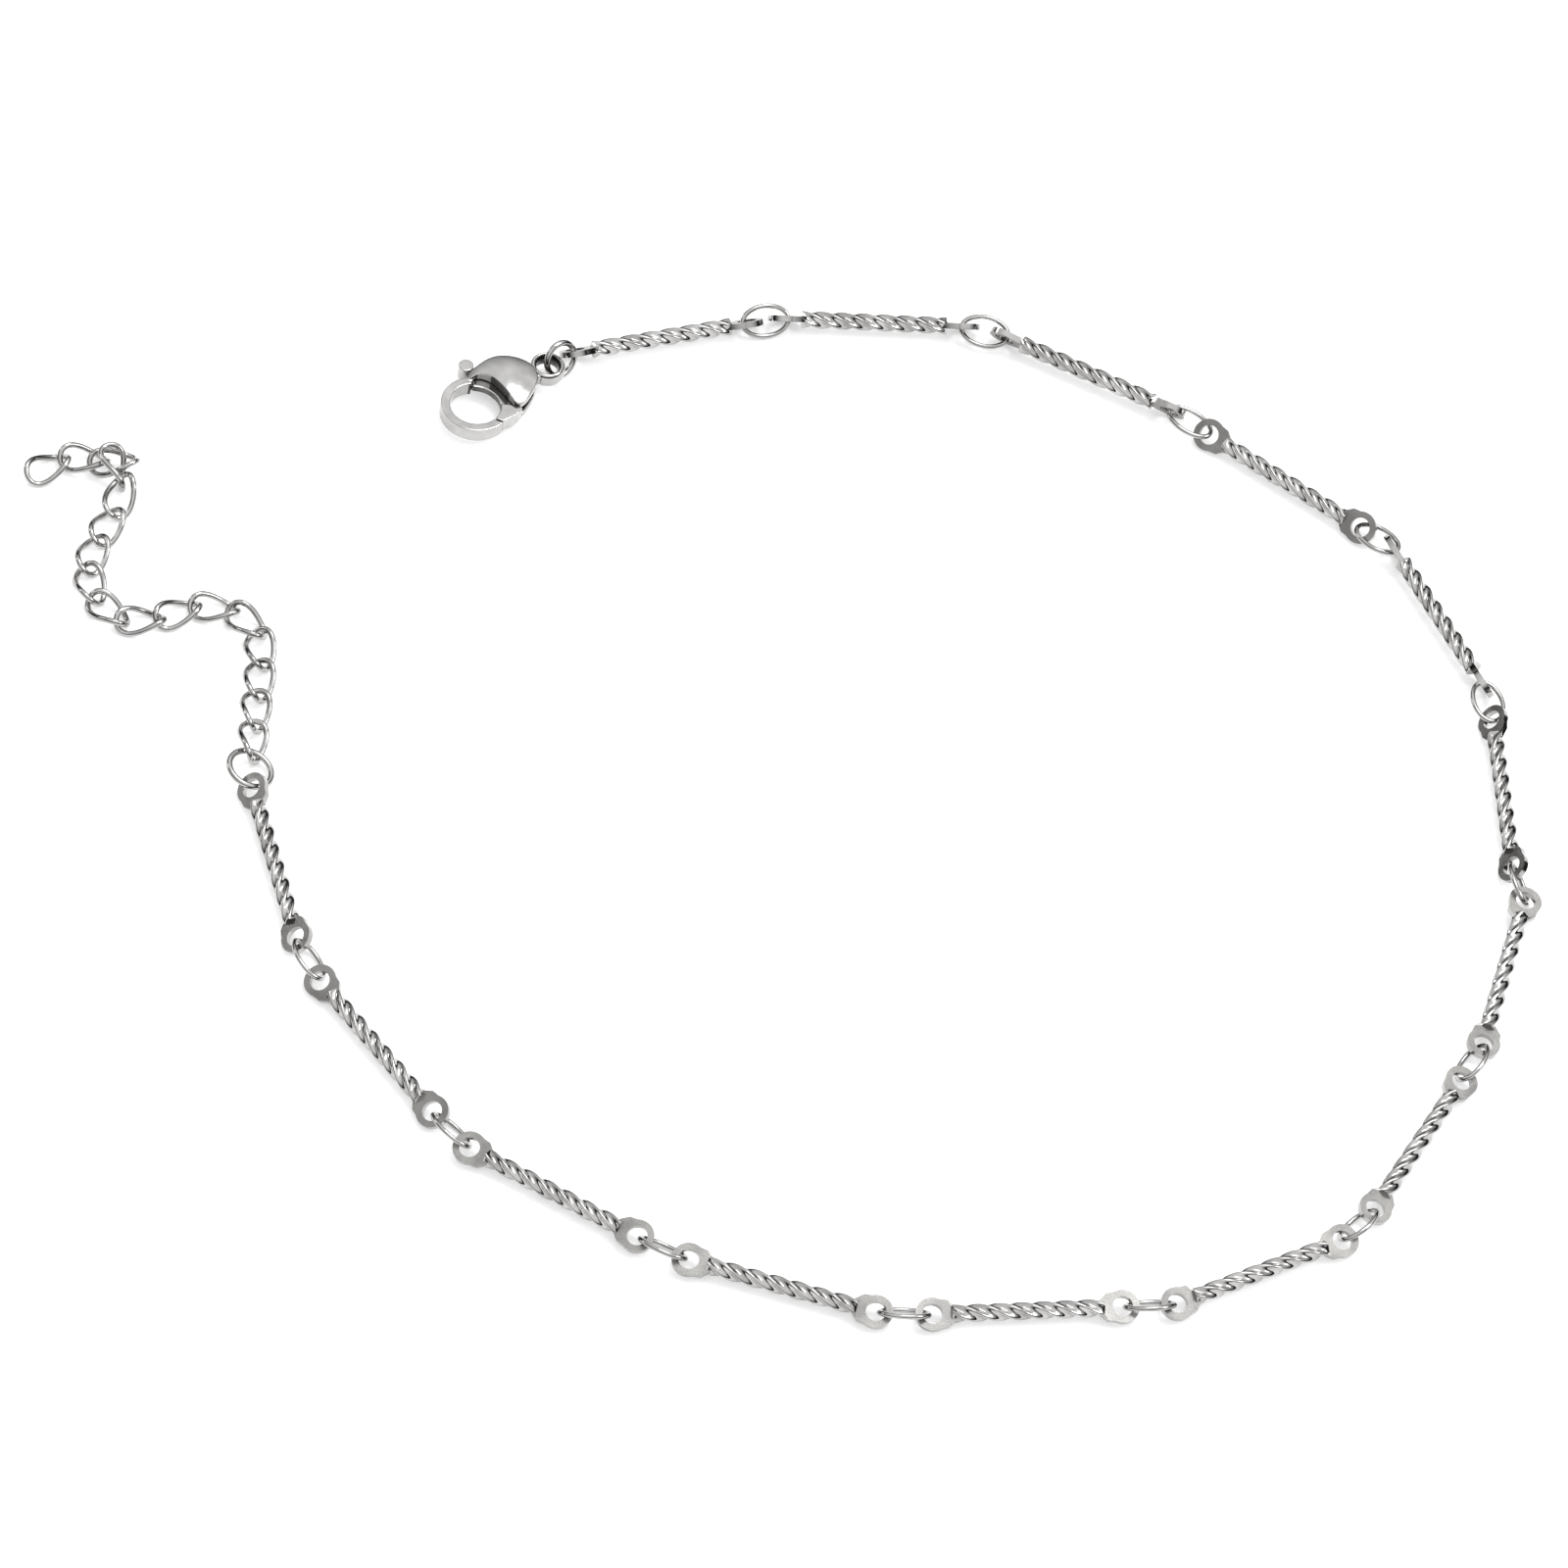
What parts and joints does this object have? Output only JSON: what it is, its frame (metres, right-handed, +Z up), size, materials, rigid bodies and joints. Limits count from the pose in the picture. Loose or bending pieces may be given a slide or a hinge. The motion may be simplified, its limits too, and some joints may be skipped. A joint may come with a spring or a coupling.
{
  "type": "chain anklet",
  "caption": "Thin steel chain anklet of twisted bars and oval rings with a lobster clasp and a curb extender chain, lying open on a flat surface.",
  "frame": {"origin": "centre of the bounding box, on the surface that the anklet lies on", "axes": "+Z up from the surface, +X towards the right of the picture, -Y towards the camera"},
  "size_m": [0.106, 0.087, 0.0026],
  "materials": {
    "chain_steel": "polished",
    "clasp_steel": "polished"
  },
  "bodies": {
    "anklet": {"clasp_body": "clasp_steel", "clasp_pin": "clasp_steel", "clasp_ring": "chain_steel", "bar_01": "chain_steel", "bar_02": "chain_steel", "bar_03": "chain_steel", "bar_04": "chain_steel", "bar_05": "chain_steel", "bar_06": "chain_steel", "bar_07": "chain_steel", "bar_08": "chain_steel", "bar_09": "chain_steel", "bar_10": "chain_steel", "bar_11": "chain_steel", "bar_12": "chain_steel", "bar_13": "chain_steel", "bar_14": "chain_steel", "ring_01": "chain_steel", "ring_02": "chain_steel", "ring_03": "chain_steel", "ring_04": "chain_steel", "ring_05": "chain_steel", "ring_06": "chain_steel", "ring_07": "chain_steel", "ring_08": "chain_steel", "ring_09": "chain_steel", "ring_10": "chain_steel", "ring_11": "chain_steel", "ring_12": "chain_steel", "ring_13": "chain_steel", "tail_ring": "chain_steel", "extender_link_01": "chain_steel", "extender_link_02": "chain_steel", "extender_link_03": "chain_steel", "extender_link_04": "chain_steel", "extender_link_05": "chain_steel", "extender_link_06": "chain_steel", "extender_link_07": "chain_steel", "extender_link_08": "chain_steel", "extender_link_09": "chain_steel", "extender_link_10": "chain_steel", "extender_link_11": "chain_steel", "extender_link_12": "chain_steel", "extender_link_13": "chain_steel", "extender_link_14": "chain_steel", "extender_link_15": "chain_steel", "extender_link_16": "chain_steel", "extender_link_17": "chain_steel"},
    "lever": {"clasp_lever": "clasp_steel"}
  },
  "joints": [
    {"name": "lever_pivot", "type": "hinge", "parent": "anklet", "child": "lever", "pos_m": [-0.02193, 0.0278, 0.0011], "axis": [0, 0, -1], "range_deg": [0, 22], "stiffness_Nm_per_rad": 0.004, "springref_deg": -5.73}
  ]
}
